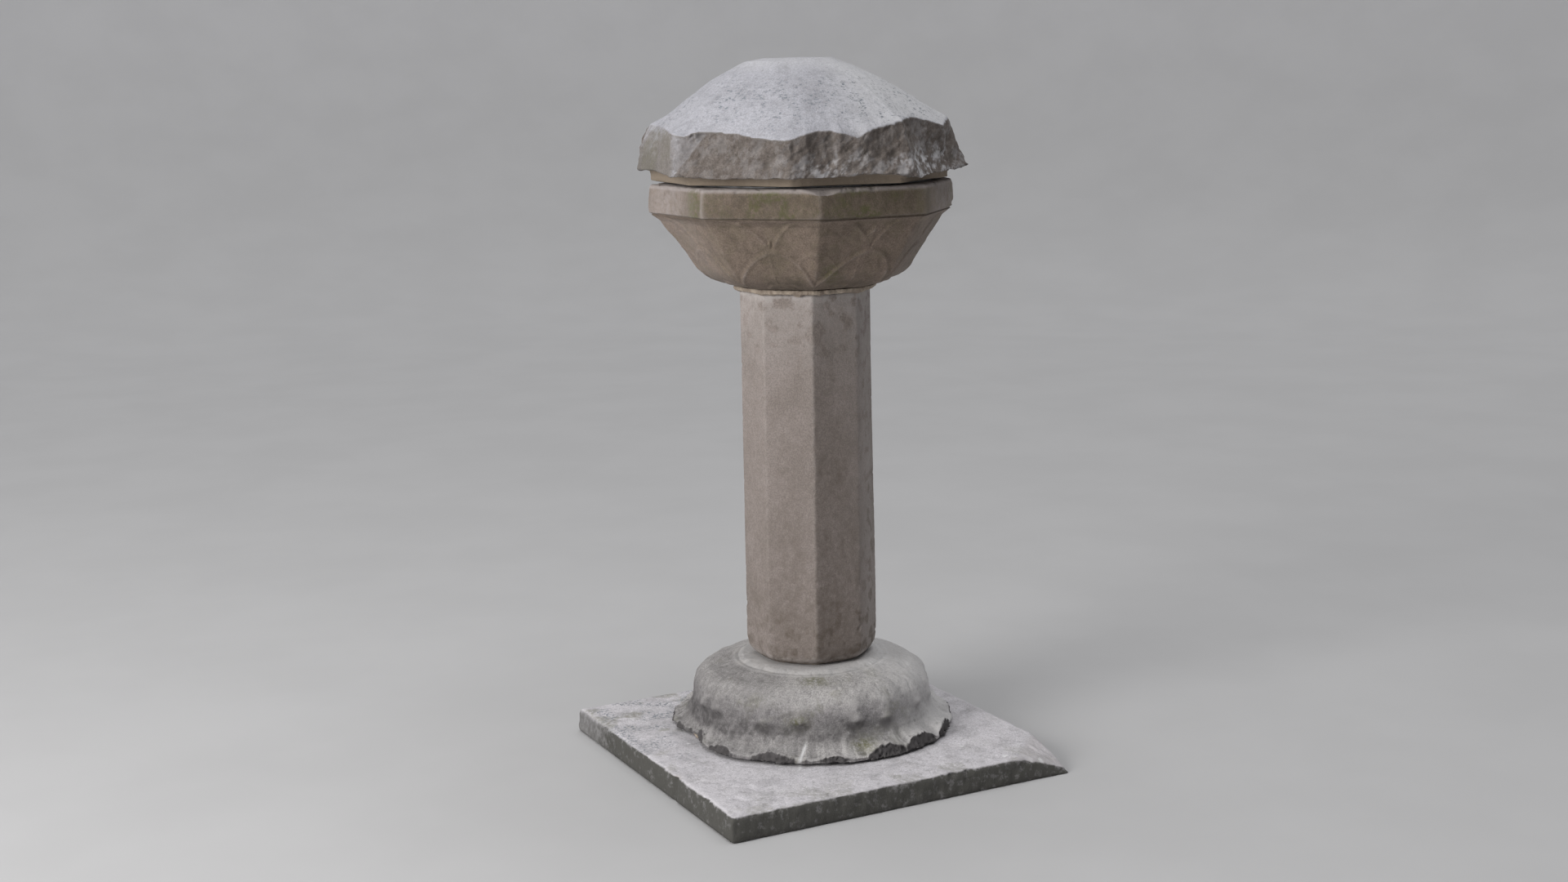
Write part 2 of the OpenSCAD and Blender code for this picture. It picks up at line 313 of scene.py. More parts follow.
# ---- Materials ----
class Shader:
    """Short names for building one node material"""

    def __init__(self, name, metal=0.0):
        self.material = bpy.data.materials.new(name)
        self.material.use_nodes = True
        self.tree = self.material.node_tree
        self.tree.nodes.clear()
        self.coords = self.node("TexCoord").outputs["Object"]
        self.surface = self.node("BsdfPrincipled", {"Metallic": metal})
        self.colour = None
        self.node("OutputMaterial", {"Surface": self.surface.outputs[0]})

    def node(self, kind, inputs=None, **settings):
        """A new shader node, with its settings made and its inputs set or linked"""
        made = self.tree.nodes.new("ShaderNode" + kind)
        for key, value in settings.items():
            setattr(made, key, value)
        self.fill(made, inputs or {})
        return made

    def fill(self, node, inputs):
        for name, value in inputs.items():
            socket = node.inputs[name]
            if isinstance(value, bpy.types.NodeSocket):
                self.tree.links.new(value, socket)
            elif socket.type == "RGBA":
                socket.default_value = (*value, 1.0)
            else:
                socket.default_value = value

    def noise(self, size, detail=4.0, roughness=0.55, warp=0.0, stretch=None, shift=0.0, coords=None):
        """Noise whose largest features are about size millimetres across"""
        coords = coords or self.coords
        if stretch or shift:
            moved = {"Vector": coords, "Scale": stretch or (1, 1, 1), "Location": (shift, shift, shift)}
            coords = self.node("Mapping", moved).outputs[0]
        look = {"Vector": coords, "Scale": 1000.0 / size, "Detail": detail, "Roughness": roughness,
                "Distortion": warp}
        return self.node("TexNoise", look).outputs[0]

    def streaks(self, size, turn, length):
        """Noise drawn out along a line that leans turn degrees from upright towards +X"""
        leaning = {"Vector": self.coords, "Rotation": (0, math.radians(turn), 0), "Scale": (1, 1, length)}
        coords = self.node("Mapping", leaning, vector_type="TEXTURE").outputs[0]
        return self.noise(size, 5.0, 0.7, coords=coords)

    def cells(self, size):
        return self.node("TexVoronoi", {"Vector": self.coords, "Scale": 1000.0 / size}).outputs[0]

    def mask(self, name):
        return self.node("Attribute", attribute_name=name).outputs["Fac"]

    def z_of(self, vector):
        return self.node("SeparateXYZ", {0: vector}).outputs["Z"]

    def upward(self):
        """The height of the surface normal: 1 facing up, 0 upright"""
        return self.z_of(self.node("NewGeometry").outputs["Normal"])

    def ramp(self, value, start, end, low=0.0, high=1.0):
        """value brought smoothly from start..end to low..high"""
        inputs = dict(enumerate((value, start, end, low, high)))
        return self.node("MapRange", inputs, interpolation_type="SMOOTHSTEP").outputs[0]

    def math(self, operation, a, b):
        return self.node("Math", {0: a, 1: b}, operation=operation).outputs[0]

    def times(self, a, b):
        return self.math("MULTIPLY", a, b)

    def plus(self, a, b):
        return self.math("ADD", a, b)

    def mix(self, share, a, b, how="MIX"):
        return self.node("Mix", {0: share, 6: a, 7: b}, data_type="RGBA", blend_type=how).outputs[2]

    def start(self, share, a, b):
        """Starts the surface's colour as a mix of a and b"""
        self.colour = self.mix(share, a, b)

    def over(self, share, tint):
        """Lays a tint over the colour so far, where share is 1"""
        self.colour = self.mix(share, self.colour, tint)

    def shade(self, value):
        """Multiplies the colour's brightness by value"""
        grey = self.node("CombineColor", {0: value, 1: value, 2: value}).outputs[0]
        self.colour = self.mix(1.0, self.colour, grey, "MULTIPLY")

    def finish(self, roughness, height=None, depth=1.0, strength=1.0):
        """Sets the surface; height is a bump in units of depth millimetres"""
        self.fill(self.surface, {"Base Color": self.colour, "Roughness": roughness})
        if height is not None:
            bump = self.node("Bump", {"Height": height, "Distance": depth * MM, "Strength": strength})
            self.fill(self.surface, {"Normal": bump.outputs[0]})
        return self.material


# The masks that every piece's points carry, and the colours laid on through them, some of them as painted
# light and shade
MASKS = ("moss", "stain_and_shade", "tan", "pale", "white", "specks", "fresh", "proud")
MOSS = (0.115, 0.115, 0.045)
CHALK_AND_LIGHT = (0.75, 0.75, 0.76)
TAN = (0.235, 0.19, 0.145)
SPECK = (0.20, 0.22, 0.245)


def stone(name, main, other, top, hollow, broken=None, speck=0.25, patchy=0.3, rough=0.8, shift=0.0):
    """Weathered stone: main and other mottle its sides, top is what faces up, hollow its dark patches and
    the painted shade in its recesses.

    The masks say where it is mossy, stained and in painted shade, tan, pale with weathering and painted
    light, white with lime and painted light, specked, freshly broken or proud.
    """
    s = Shader(name)
    broad = s.ramp(s.noise(120, 3, shift=shift), 0.38, 0.62)
    patches = s.ramp(s.noise(24, 6, 0.62, 0.4, shift=shift), 0.42, 0.66)
    s.start(broad, main, other)
    s.over(s.times(patches, patchy), hollow)
    dim_top = tuple(0.68 * channel for channel in top)
    weathered = s.ramp(s.noise(45, 6, 0.65, 0.3, shift=shift), 0.42, 0.68, 0.0, 0.75)
    s.over(s.ramp(s.upward(), 0.15, 0.75), s.mix(weathered, top, dim_top))
    fresh = s.ramp(s.mask("fresh"), 0.2, 0.8)
    if broken:
        tint = s.mix(s.ramp(s.streaks(15, FRACTURE_LEAN, 2.6), 0.38, 0.66), broken[0], broken[1])
        s.over(fresh, tint)
    blots = s.ramp(s.noise(9, 5, 0.6, shift=shift), 0.50, 0.72)
    s.over(s.times(blots, patchy * 0.8), hollow)
    grains = s.ramp(s.noise(2.6, 3, 0.7), 0.35, 0.65, 1.0 - speck, 1.0 + speck)
    s.shade(grains)
    # Painted shade: hollows in the surface, where the proud mask is negative, take the hollow colour
    s.over(s.ramp(s.mask("proud"), -0.2, -2.4, 0.0, 0.75), hollow)
    light_edge = s.times(s.ramp(s.mask("proud"), 0.25, 1.8, 0.0, 0.40), s.ramp(fresh, 0, 1, 1.0, 0.3))
    s.over(light_edge, top)
    ragged = s.ramp(s.noise(7, 5, 0.65), 0.30, 0.62)
    s.over(s.times(s.mask("moss"), ragged), MOSS)
    worn_edge = s.ramp(s.noise(12, 5, 0.65, shift=3.0), 0.25, 0.65, 0.4, 1.0)
    # The stain mask lays the hollow colour for real stains and for painted shade; the pale mask lays the top
    # colour for weathering and for painted light
    for mask, tint in (("stain_and_shade", hollow), ("tan", TAN), ("pale", top)):
        s.over(s.times(s.mask(mask), worn_edge), tint)
    # The white mask lays chalk for lime and lichen spots and for painted light
    s.over(s.times(s.mask("white"), s.ramp(s.noise(5, 4), 0.3, 0.5, 0.5, 1.0)), CHALK_AND_LIGHT)
    specks = s.ramp(s.noise(6, 4, 0.7, stretch=(1.0, 1.0, 1.8)), 0.50, 0.58)
    s.over(s.times(s.mask("specks"), specks), SPECK)
    pits = s.ramp(s.cells(5.5), 0.0, 0.35)
    grain = s.plus(s.noise(1.8, 4, 0.75), s.times(s.noise(7, 5, 0.7), 1.6))
    bump = s.plus(grain, s.times(pits, 0.5))
    roughness = s.ramp(s.noise(15), 0.3, 0.7, 0.82, 0.97)
    return s.finish(roughness, bump, depth=rough, strength=0.75)


def mortar(name):
    s = Shader(name)
    s.start(s.ramp(s.noise(14, 5), 0.35, 0.65), (0.40, 0.335, 0.27), (0.25, 0.20, 0.16))
    s.over(s.ramp(s.cells(3.0), 0.0, 0.5, 0.5, 0.0), (0.45, 0.40, 0.31))
    bump = s.plus(s.noise(2.0, 5, 0.75), s.noise(6, 4))
    return s.finish(0.95, bump, depth=1.2, strength=0.9)


def lead(name, bright):
    """Dull grey lead with a pale bloom and dressing marks"""
    s = Shader(name, metal=0.85)
    dark = 0.55 * bright
    light = (bright, 1.02 * bright, 1.06 * bright)
    s.start(s.ramp(s.noise(30, 6, 0.6, 0.6), 0.35, 0.65), (dark, dark, dark), light)
    s.over(s.ramp(s.noise(8, 5), 0.55, 0.75, 0.0, 0.5), (0.42, 0.43, 0.44))
    bump = s.plus(s.times(s.cells(16), 0.8), s.noise(3, 3))
    roughness = s.ramp(s.noise(12, 4), 0.3, 0.7, 0.42, 0.68)
    return s.finish(roughness, bump, depth=0.5, strength=0.6)


def brass(name):
    s = Shader(name, metal=1.0)
    tarnish = s.ramp(s.noise(9, 6, 0.6, 0.5), 0.42, 0.66)
    s.start(tarnish, (0.56, 0.38, 0.14), (0.20, 0.13, 0.06))
    s.over(s.ramp(s.noise(3, 5), 0.60, 0.72, 0.0, 0.6), (0.10, 0.22, 0.16))
    roughness = s.ramp(tarnish, 0.0, 1.0, 0.24, 0.55)
    scratches = s.noise(1.5, 3, 0.7, stretch=(1.0, 1.0, 12.0))
    return s.finish(roughness, scratches, depth=0.15, strength=0.5)


def iron(name):
    s = Shader(name, metal=0.7)
    rust = s.ramp(s.noise(6, 6, 0.65), 0.40, 0.60)
    s.start(rust, (0.09, 0.085, 0.08), (0.20, 0.085, 0.035))
    return s.finish(s.ramp(rust, 0, 1, 0.5, 0.9), s.noise(2, 5), depth=0.6, strength=0.8)


def leather(name):
    s = Shader(name)
    s.start(s.ramp(s.noise(5, 5), 0.35, 0.65), (0.085, 0.042, 0.020), (0.16, 0.085, 0.045))
    bump = s.plus(s.times(s.cells(1.1), 1.0), s.noise(4, 4))
    return s.finish(0.62, bump, depth=0.25, strength=0.7)


STONES = {
    "slab_stone": dict(main=(0.19, 0.187, 0.195), other=(0.15, 0.15, 0.152), top=(0.60, 0.582, 0.61),
                       hollow=(0.075, 0.073, 0.066), speck=0.18, patchy=0.35),
    "base_stone": dict(main=(0.285, 0.272, 0.275), other=(0.235, 0.226, 0.226), top=(0.43, 0.415, 0.41),
                       hollow=(0.078, 0.073, 0.074), patchy=0.38, shift=1.0),
    "stem_stone": dict(main=(0.300, 0.260, 0.243), other=(0.255, 0.220, 0.202), top=(0.46, 0.43, 0.415),
                       hollow=(0.125, 0.100, 0.082), speck=0.18, patchy=0.13, rough=0.5, shift=2.0),
    "bowl_stone": dict(main=(0.215, 0.165, 0.132), other=(0.175, 0.135, 0.104), top=(0.37, 0.33, 0.318),
                       hollow=(0.075, 0.058, 0.043), speck=0.22, shift=3.0),
    "lid_stone": dict(main=(0.215, 0.195, 0.186), other=(0.18, 0.165, 0.152), top=(0.43, 0.43, 0.47),
                      hollow=(0.105, 0.090, 0.078), speck=0.2, shift=4.0,
                      broken=((0.120, 0.100, 0.088), (0.180, 0.157, 0.143))),
}
MATERIALS = {name: stone(name, **look) for name, look in STONES.items()}
MATERIALS["lime_mortar"] = mortar("lime_mortar")
MATERIALS["sheet_lead"] = lead("sheet_lead", 0.30)
MATERIALS["cast_lead"] = lead("cast_lead", 0.24)
MATERIALS["worn_brass"] = brass("worn_brass")
MATERIALS["wrought_iron"] = iron("wrought_iron")
MATERIALS["leather"] = leather("leather")


# ---- Slab ----
def broken_corner(x, y, rough):
    """Height left under the break at the slab's front right corner"""
    corner_x, corner_y = SLAB_X + SLAB_HALF, SLAB_Y - SLAB_HALF
    out = ((x - corner_x) - (y - corner_y)) / math.sqrt(2)
    reach, drop = 92.0, 40.5
    share = np.clip((out + reach) / reach, 0, 1)
    return SLAB_TOP - drop * share ** 1.6 - rise(share, 0.02, 0.3) * rough


def make_slab():
    count = 760
    angle = columns(count, 4, 0.0)
    plan = polygon(angle, 4, 0.0, 220.0)[0]
    bumps = Noise(11)
    drawn_top, under_base_r, edge_inset = 45.0, 215.0, 9
    edge = [(edge_inset, 0.0), (3, 1.5), (0.5, 6.0), (0.5, 12.0), (1.5, 20.0), (2.5, 28.0), (3.0, 36.0),
            (4.5, 40.5), (7.5, 43.6), (13, 45.0)]
    rows = []
    outer = place(angle, plan * SLAB_HALF, 0.0, SLAB_X, SLAB_Y)
    middle = np.array([SLAB_X, SLAB_Y, 0.0])
    bore = place(angle, BORE_R, 0.0)
    for share in np.linspace(0, 1, 8)[:-1]:
        rows.append(bore + ((outer - middle) * (1 - edge_inset / SLAB_HALF) + middle - bore) * share)
    for inset, z in edge:
        ring = (outer - middle) * (1 - inset / SLAB_HALF) + middle
        ring[:, 2] = z * SLAB_TOP / drawn_top
        rows.append(ring)
    last = rows[-1]
    hidden = place(angle, under_base_r, SLAB_TOP)
    steps = 66
    for i in range(1, steps):
        rows.append(last + (hidden - last) * i / steps)
    top_bore = bore + [0, 0, SLAB_TOP]
    for share in np.linspace(0, 1, 6):
        rows.append(hidden + (top_bore - hidden) * share)
    rows.append(bore + [0, 0, SLAB_TOP / 2])
    points = np.array(rows)

    x, y, z = np.moveaxis(points, -1, 0)
    from_axis = np.hypot(x, y)
    outside = rise(from_axis, 60, 200)
    side = rise(z, 0.5, 4.0) * rise(45.5 - z, 0.5, 3.0)
    wear = 1.2 + 1.3 * bumps(points, 42, 3) + 1.1 * bumps(points, 13, 3, 0.65)
    chips = rise(bumps(points * [1, 1, 0.4], 28, 3), 0.25, 0.75)
    inset_edge = rise(z, 34, 44) * rise(from_axis, 240, 260)
    pull = side * (wear + 5.5 * chips * inset_edge)
    notch = bell(y + 155, 9) * rise(-x, 335, 352)
    front_face = rise(-y, 370, 378) * rise(280 - x, 0, 60)
    battered = 2.2 * rise(bumps(points + 500, 36, 4, 0.6), -0.2, 0.7)
    pull = pull + side * (notch * 7 + front_face * battered)
    out = points - middle
    out[..., 2] = 0
    out /= np.linalg.norm(out, axis=-1, keepdims=True) + 1e-9
    points = points - out * np.maximum(pull, 0.2)[..., None]

    facing = rise(z, SLAB_TOP - 2.5, SLAB_TOP - 0.2) * outside
    sag = 1.2 + 0.9 * bumps(points, 75, 3) + 0.45 * bumps(points, 12, 2)
    edge_drop = 2.0 * rise(bumps(points, 30, 2), 0.1, 0.8) * rise(from_axis, 290, 420)
    points[..., 2] -= facing * np.maximum(sag + edge_drop + 6 * notch, 0.0)

    rough = 1.5 + 2.2 * bumps(points + 90, 26, 4, 0.6)
    cap = broken_corner(points[..., 0], points[..., 1], rough)
    limit = np.minimum(cap, SLAB_TOP)
    points[..., 2] *= np.where(z > 0, np.maximum(limit, 3.5) / SLAB_TOP, 1)
    break_zone = rise(SLAB_TOP - cap, 0.5, 3.0) * rise(z, 40, 44)

    back_left = rise(-x + y, 80, 420) * rise(z, 40, 45)
    lichen = rise(bumps(points + 300, 60, 4), 0.0, 0.45)
    front = rise(-y, 300, 350) * rise(z, 38, 44)
    low_side = rise(30 - z, 0, 22) * rise(from_axis, 250, 300)
    below_edge = rise(SLAB_TOP - 1 - z, 0, 3)
    left_side = rise(-x, 343, 352) * (0.95 - 0.5 * rise(y, 60, 230))
    grimy = (0.9 * rise(-y, 370, 380) + left_side) * below_edge
    spots = rise(bumps(points + 1200, 20), 0.74, 0.80) * rise(z, 42, 44.5)
    streak = near(np.degrees(np.arctan2(x, -y)), -33, 0.5)
    streak = streak * window(from_axis, 235, 250, 272, 286)
    masks = {
        "proud": 0.6 * proud(points, True),
        "moss": (0.48 * back_left + 0.26 * front + 0.08) * lichen * rise(z, 5, 30) + 0.12 * low_side,
        "stain_and_shade": 0.30 * rise(280 - from_axis, 0, 30) * rise(z, 40, 45) + 1.55 * grimy,
        "tan": np.maximum(0.35 * break_zone, 0.7 * notch * rise(z, 40, 44)),
        "pale": 0.5 * break_zone,
        "specks": 0.9 * back_left * rise(bumps(points + 60, 50), -0.2, 0.3),
        "white": np.maximum(0.8 * spots, 0.8 * streak * rise(z, 42, 44)),
    }
    make_piece("slab_stone", points, "pedestal", "slab_stone", "ground_slab", masks)


# ---- Base ----
# Breaks in the lip: (angle, half width in degrees, depth inward, height of the broken face)
LIP_BREAKS = [(-106, 5, 6, 7), (-87, 7, 12, 12), (-67, 8, 10, 11), (-44, 10, 12, 12),
              (-19, 9, 7, 8), (3, 9.5, 18, 17), (20.5, 11, 18, 18), (41, 9, 10, 15), (66, 7, 10, 14),
              (88, 6, 8, 10), (113, 9, 18, 17), (140, 7, 8, 10), (165, 8, 14, 15), (-172, 6, 8, 10),
              (-146, 9, 16, 16), (-124, 6, 8, 10)]
BOSS_ANGLES = [-90.5, -80, -51, -34, -7, 9, 33, 48, 77, 93, 122, 138, 167, 183, 212, 228]


def make_base():
    count, cell = 768, 2.4
    angle = columns(count)
    bumps = Noise(23)
    ring = place(angle, LIP_R, 0.0)
    uneven = bumps(ring, 60, 2)
    worn = 28 * near(angle, -93, 13) + 5 * (1 - near(angle, 15, 35))
    ragged = bumps(ring + 500, 24, 4, 0.65)
    lip = np.minimum(LIP_R - 2 - worn + 2.5 * uneven + 2.2 * ragged, LIP_R - 0.5)
    splinters = bumps(ring + 900, 11, 3, 0.7)
    inward = 2.0 * np.maximum(ragged, 0)
    broken = 2.0 + 3.0 * np.maximum(ragged, 0)
    for at, half, depth, tall in LIP_BREAKS:
        away = turned_from(angle + 1.5 * uneven + 1.3 * ragged, at) / half
        deep = np.maximum(1 - away ** 2, 0)
        inward = np.maximum(inward, 0.5 * depth * deep)
        broken = np.maximum(broken, tall * deep)
    swept = broken
    broken = broken + 2.6 * splinters * rise(broken, 1, 8)
    top = lip - inward
    edge = BASE_Z + 3.5 + 1.2 * uneven + broken
    shoulder, waist, waist_z = 47.0, 217.0, BASE_Z + 65.0
    keys = keys_at(0, BASE_Z, 0, (BORE_R, 0, 30), (222, 0, 6))
    keys += keys_at(lip, BASE_Z, 0, (-5, 0, 1), (-1.5, 0.3, 1), (-0.5, 1.5, 1.6))
    keys.append((top + 0.55 * inward - 0.5, BASE_Z + 1.5 + 0.35 * broken, 0, 1.6))
    keys += keys_at(top, edge, 0, (0.2, -1.6), (-0.3, 0), (-2.0, 1.6))
    for turn in np.linspace(14, 90, 9):
        across = 1 - math.sin(math.radians(turn))
        upward = 1 - math.cos(math.radians(turn))
        whole = edge - broken
        r = waist + (lip - 2 - waist) * across - inward * across ** 3
        z = whole + 1.6 + (waist_z - whole) * upward + swept * (1 - upward) ** 3
        keys.append((r, z, 0))
    keys += arc(waist - shoulder, waist_z, shoulder, 8, 78, 0)
    collar = 134 + 1.2 * uneven
    keys += keys_at(collar, FOOT_Z, 0, (6, -5.5), (1, -6.2), (-3, -3.5), (-9, -1.2))
    keys += keys_at(0, FOOT_Z, 0, (114, 0, 3), (100, 0, 40), (BORE_R, 0, 40)) + keys[:1]
    radius, height, _ = profile(keys, cell, count)
    points = place(angle, radius, height)
    up = height - BASE_Z
    outside = rise(radius, 100, 122)
    collar_top = rise(height, FOOT_Z - 8, FOOT_Z - 5)

    # Fingers run down the shoulder in pairs, and each ends in a boss over the hollow
    lobes = np.zeros_like(radius)
    shade_under_boss = np.zeros_like(radius)
    boss_z = 59.0
    for i, at in enumerate(BOSS_ANGLES):
        away = turned_from(angle, at + 0.6 * np.sin(height / 19 + i))
        drop = 2.5 * math.sin(i * 2.3)
        size = 1.0 + 0.25 * math.sin(i * 1.7)
        finger = window(up, boss_z - 9 + drop, boss_z + 2 + drop, boss_z + 16, boss_z + 50)
        lobes += 4.0 * size * bell(away, 4.4) * finger
        lobes += 4.2 * size * bell(away, 2.9) * bell(up - boss_z - drop, 9)
        # Painted shadow under each boss, where it overhangs the hollow
        shade_under_boss += size * bell(away, 3.2) * bell(up - boss_z + 7 - drop, 8)
    pair_gap = turned_from(angle, 22.5, EIGHTH)
    tall = window(height, BASE_Z + 44, BASE_Z + 62, FOOT_Z - 30, FOOT_Z - 8)
    lobes -= 2.0 * bell(pair_gap, 3.5) * tall

    # A vein runs down the skirt to each petal's tip, some of them worn nearly away
    ridge = turned_from(angle + 3.0 * uneven + 1.2 * np.sin(height / 9), 11.25, 22.5)
    strength = 0.45 + 0.55 * np.sin(np.round((angle - 11.25) / 22.5) * 2.6 + 1.0)
    skirt = rise(height - edge, -1, 5) * fall(up, 20, 44)
    lobes += skirt * strength * (2.2 * bell(ridge, 1.7) - 0.9 * bell(ridge + 3.6, 2.4))

    wear = 1.5 * bumps(points, 42, 3) + 0.45 * bumps(points + 50, 11, 3)
    pits = 1.1 * rise(bumps(points + 200, 9, 2), 0.45, 0.9)
    broken_lip = rise(edge - height, -1.2, 1.2) * rise(radius, 222, 236) * rise(broken, 2, 6)
    rough = broken_lip * (1.5 - 6.5 * np.abs(bumps(points * [1, 1, 1.6] + 400, 17, 4, 0.7)))
    wear = wear * (1 - 0.3 * collar_top)
    points = pushed(points, outside * (lobes + wear - pits) + rough, True)
    flat = place(angle, np.minimum(np.hypot(points[..., 0], points[..., 1]), LIP_R - 0.3), 0)
    points[..., :2] = np.where(outside[..., None] > 0, flat[..., :2], points[..., :2])
    points[..., 2] = np.clip(points[..., 2], BASE_Z, FOOT_Z)

    relief = proud(points, True, 30)
    # Painted light and shade: the base darkens towards its left side and pales and whitens towards its
    # right, for how the light falls
    leftward = window(turned_from(angle, -85), -75, -30, 10, 75)
    painted_light_rightward = window(turned_from(angle, 60), -70, 0, 60, 120)
    # Painted shade in the hollow under the bosses, laid on unevenly
    hollow = window(up, 12, 34, 46, 66)
    patch = rise(bumps(points + 700, 38, 4, 0.6), -0.1, 0.5)
    green = near(angle, -34, 5) * bell(up - 62, 14)
    green += near(angle, -6, 5) * bell(up - 20, 10)
    green += near(angle, -26, 10) * bell(height - FOOT_Z + 10, 5)
    streak = near(angle - 0.1 * up, -33.5, 0.6)
    streak = streak * rise(up, 1, 4)
    streak = streak * fall(up, 18, 34)
    masks = {
        "proud": np.where(height < edge + 4, np.minimum(relief, 0.3), relief * (1 - 0.4 * skirt)),
        "moss": (0.35 * patch * rise(bumps(points + 90, 80), -0.1, 0.5) + 0.8 * green) * outside,
        # Darker: painted shade in the hollow and under the bosses, and dirt with painted shade on the lip's
        # broken underside
        "stain_and_shade": np.clip(0.6 * hollow * (0.5 + 0.5 * patch) + 1.1 * shade_under_boss
                         + 0.50 * leftward * outside, 0, 1) + 1.8 * broken_lip,
        "tan": 0.35 * collar_top * patch,
        "pale": np.clip(0.55 * skirt * strength * bell(ridge, 1.4)
                        + 0.75 * painted_light_rightward * outside * (1 - broken_lip)
                        + 1.0 * collar_top * (0.5 + 0.5 * patch), 0, 1),
        "white": np.maximum(0.7 * streak, 0.36 * painted_light_rightward * outside * (1 - broken_lip)) + 0.15 * collar_top,
    }
    make_piece("base_stone", points, "pedestal", "base_stone", "carved_base", masks)


# ---- Stem ----
def make_stem():
    count, cell = 8 * 44, 2.6
    angle = columns(count, 8, 0.0)
    bumps = Noise(31)
    r = STEM_R
    keys = [(BORE_R, STEM_Z, 0, 40)]
    keys += keys_at(r, STEM_Z, 1, (-16, 0, 5), (-11.5, 1), (-6.5, 6), (-3, 14), (0, 34))
    keys += keys_at(r, NECK_Z, 1, (0, -7), (-0.6, -3), (-3.5, 0, 5), (-12, 0, 40))
    keys += [(BORE_R, NECK_Z, 0, 120), keys[0]]
    radius, height, share = profile(keys, cell, count)
    sharp = 14 + 110 * rise(height[:, 0], STEM_Z + 2, STEM_Z + 30)
    plan = polygon(angle, 8, 0.0, sharp)
    radius = radius * (1 + share * (plan - 1))
    spread = 6.0 * near(angle, 62, 40) * rise(NECK_Z - height, 0, 700)
    radius = radius + share * spread
    points = place(angle, radius, height)
    corner = np.abs(turned_from(angle, 22.5, EIGHTH))
    outside = rise(radius, r - 14, r - 6)
    foot = rise(STEM_Z + 190 - height, 0, 170)
    wear = 0.35 * bumps(points * [1, 1, 0.5], 55, 3) + 0.22 * bumps(points, 9, 3)
    chips = rise(bumps(points + 80, 17, 3), 0.28, 0.8) * bell(corner, 2.6)
    spots = rise(bumps(points + 10, 8, 2), 0.45, 0.9) * (0.25 + foot)
    cut = 0.2 - wear + chips * (1.2 + 2.4 * foot) + 0.7 * spots
    points = pushed(points, -outside * np.maximum(cut, 0), True)

    blotch = rise(bumps(points + 500, 30, 4, 0.6), 0.05, 0.6)
    smear = rise(bumps(points * [1, 1, 0.35] + 900, 26, 3), 0.0, 0.6)
    # Painted shadow: a dark line round the stem's foot
    line = bell(height - STEM_Z, 4.0)
    # Painted shade on the face turned to -Y, and painted light on the narrow face at +45 beyond it
    right = rise(turned_from(angle, 0), -24, -21) * rise(24 - turned_from(angle, 0), 0, 3)
    painted_light_right = near(angle, 50, 24)
    front = near(angle, -45, 19)
    down = rise(NECK_Z - 100 - height, 0, 450)
    masks = {
        "proud": 0.55 * proud(points, True, 20),
        "moss": 0.10 * foot * blotch,
        "stain_and_shade": np.clip(0.36 * down + 0.4 * foot * blotch + (0.28 + 0.2 * smear) * right
                         + 0.22 * front + line, 0, 1),
        "pale": (0.35 * rise(height, NECK_Z - 190, NECK_Z) + 0.3 * rise(height, NECK_Z - 22, NECK_Z - 8)
                 + 0.4 * painted_light_right) * rise(-blotch, -0.9, -0.2),
    }
    make_piece("stem_stone", points, "pedestal", "stem_stone", "stem", masks)


# ---- Mortar beds ----
MORTAR_SHARP = 60.0  # how crisply a bed keeps the corners of the stones


def make_bed(name, node, r, sides_share, seed, ragged):
    """A thin bed between two stones, with a ragged edge"""
    angle = columns(384, 8, 0.0)
    z0, z1 = low(node), high(node)
    rim = r + ragged * Noise(seed)(place(angle, r, 0.0), 22, 3)
    inner = r - 40
    keys = [(inner, z0, sides_share), (rim - 1.5, z0, sides_share, 1.5),
            (rim, (z0 + z1) / 2, sides_share, 1.5), (rim - 1.0, z1, sides_share),
            (inner, z1, sides_share), (inner, z0, sides_share)]
    points, _, _, _ = eight_sided(angle, keys, 8, MORTAR_SHARP)
    make_piece(name, points, "pedestal", "lime_mortar", node)


def make_neck_mortar():
    """The lumpy strip squeezed out between the stem and the bowl"""
    count = 640
    angle = columns(count, 8, 0.0)
    bumps = Noise(47)
    r = STEM_R
    ring = place(angle, 120.0, 0.0)
    lumps = bumps(ring, 26, 4, 0.6)
    lumps = lumps + 0.8 * near(angle, 42, 7)
    hang = 1.8 + 3.4 * rise(bumps(ring + 60, 30, 3), 0.0, 0.7)
    keys = [(r - 18, NECK_Z, 1, 6), (r - 0.2, NECK_Z - 0.1, 1), (r + 0.9, NECK_Z - hang, 1),
            (r + 6.5 + lumps, NECK_Z - hang * 0.8, 0.9), (r + 13 + 3 * lumps, NECK_Z + 0.2, 0.7),
            (r + 14.5 + 4 * lumps, NECK_Z + 3.5, 0.6), (r + 15 + 4 * lumps, BOWL_Z - 0.2, 0.5, 6),
            (r - 18, BOWL_Z - 0.2, 1, 6), (r - 18, NECK_Z, 1)]
    points, radius, _, _ = eight_sided(angle, keys, 1.4, MORTAR_SHARP)
    edge = rise(radius, r + 1, r + 5)
    points = pushed(points, edge * 0.7 * bumps(points, 7, 3), True)
    points[..., 2] = np.minimum(points[..., 2], BOWL_Z)
    make_piece("neck_mortar_strip", points, "pedestal", "lime_mortar", "neck_mortar")


# ---- Bowl ----
def petal(across, up, half_width, tall, point=2.0):
    """How far inside a petal a point lies, in millimetres; a point under 2 makes its tip sharper"""
    reach = np.abs(across / half_width) ** point + np.maximum(up / tall, 0) ** point
    return (1 - reach ** (1 / point)) * half_width


def petal_relief(inside, lift):
    """A petal's surface: it steps up at the outline, with a fine rim just inside"""
    step = lift * rise(inside, -2.0, 2.0)
    rim = 1.1 * bell(inside - 4.2, 3.3)
    trench = 0.6 * bell(inside + 4.0, 5.0)
    return step + rim * rise(inside, -3, 1) - trench * rise(-inside, -1, 2)


